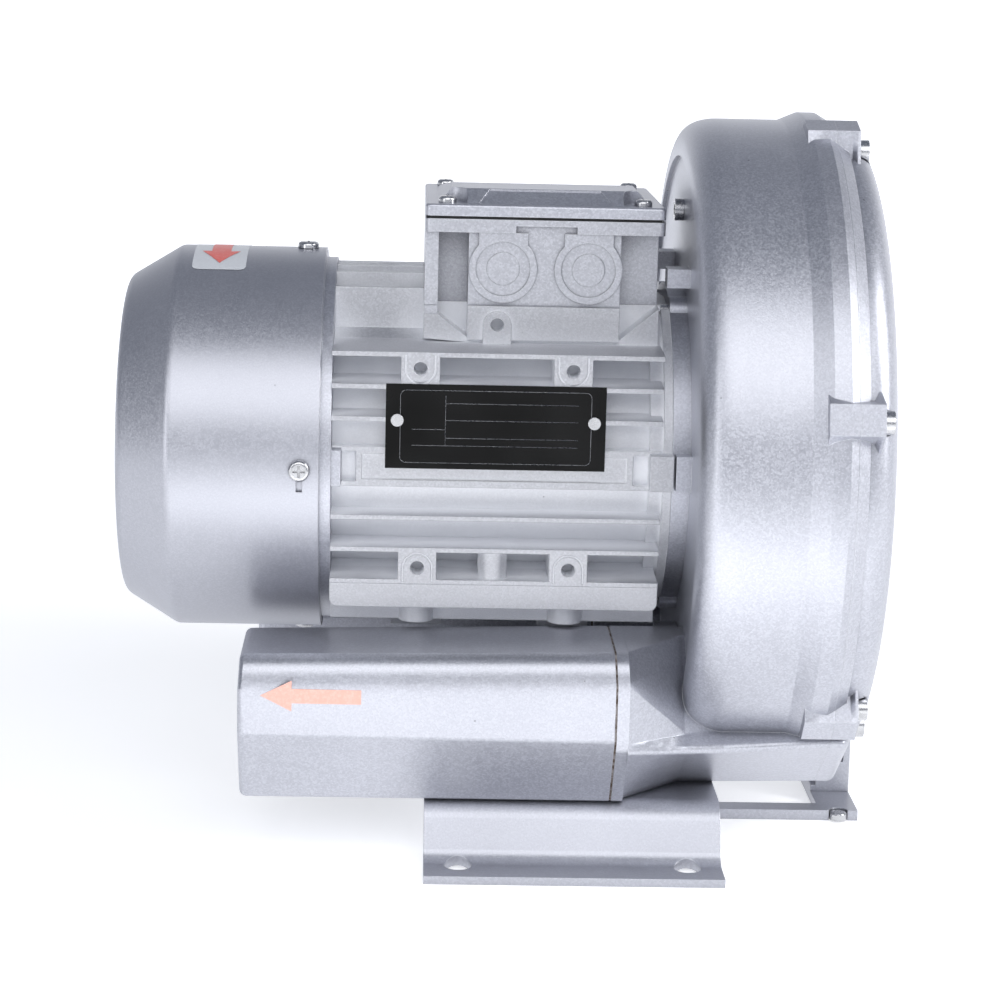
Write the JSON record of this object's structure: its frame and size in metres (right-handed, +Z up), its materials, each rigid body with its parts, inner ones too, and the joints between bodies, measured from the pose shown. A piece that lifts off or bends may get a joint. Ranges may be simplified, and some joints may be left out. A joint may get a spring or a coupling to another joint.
{
  "type": "side channel blower",
  "caption": "Side channel blower with a finned built-in motor, round casing, twin silencers under the motor, fan cowl, terminal box and bent base plate.",
  "frame": {"origin": "centre of the four base holes, on the underside of the base flanges", "axes": "+X along the shaft towards the blower casing, +Y to the inlet side, +Z up"},
  "size_m": [0.289, 0.2566, 0.269],
  "materials": {
    "cast_silver": "satin silver paint on cast aluminium",
    "cowl_silver": "satin blue-grey silver paint on pressed steel",
    "base_silver": "satin silver paint on bent steel",
    "zinc": "bright zinc plating",
    "steel": "ground steel",
    "black_plate": "polished black plate",
    "rubber": "matt black rubber",
    "foam": "open cell foam",
    "fan_plastic": "moulded black plastic",
    "raw_aluminium": "as cast",
    "laminations": "stacked electrical steel",
    "copper": "varnished copper",
    "brass": "turned brass",
    "block_plastic": "moulded insulating plastic"
  },
  "bodies": {
    "root": {"base_plate": "base_silver", "arm_rivets": "zinc", "base_screws": "zinc", "blower_housing": "cast_silver", "back_screws": "zinc", "casing_seal": "rubber", "blower_cover": "cast_silver", "cover_screws": "zinc", "cover_leg": "base_silver", "leg_screw": "zinc", "outlet_silencer": "cast_silver", "inlet_silencer": "cast_silver", "outlet_foam": "foam", "inlet_foam": "foam", "silencer_gaskets": "rubber", "drive_bearing_outer": "steel", "fan_bearing_outer": "steel", "wave_washer": "steel", "shaft_seal": "rubber", "stator_core": "laminations", "stator_windings": "copper", "motor_frame": "cast_silver", "tie_rods": "zinc", "end_shield": "cast_silver", "fan_cowl": "cowl_silver", "cowl_screws": "zinc", "terminal_box": "cast_silver", "lid_gasket": "rubber", "terminal_lid": "cast_silver", "lid_screws": "zinc", "terminal_block": "block_plastic", "terminal_studs": "brass", "nameplate": "black_plate", "nameplate_rivets": "zinc"},
    "rotor": {"rotor_shaft": "steel", "rotor_core": "laminations", "rotor_cage": "raw_aluminium", "drive_bearing_inner": "steel", "fan_bearing_inner": "steel", "impeller": "raw_aluminium", "impeller_key": "steel", "impeller_washer": "steel", "impeller_bolt": "zinc", "cooling_fan": "fan_plastic", "fan_key": "steel", "fan_ring": "steel"}
  },
  "joints": [
    {"name": "rotor_spin", "type": "hinge", "parent": "root", "child": "rotor", "pos_m": [0, 0, 0.141], "axis": [1, 0, 0], "continuous": true}
  ]
}
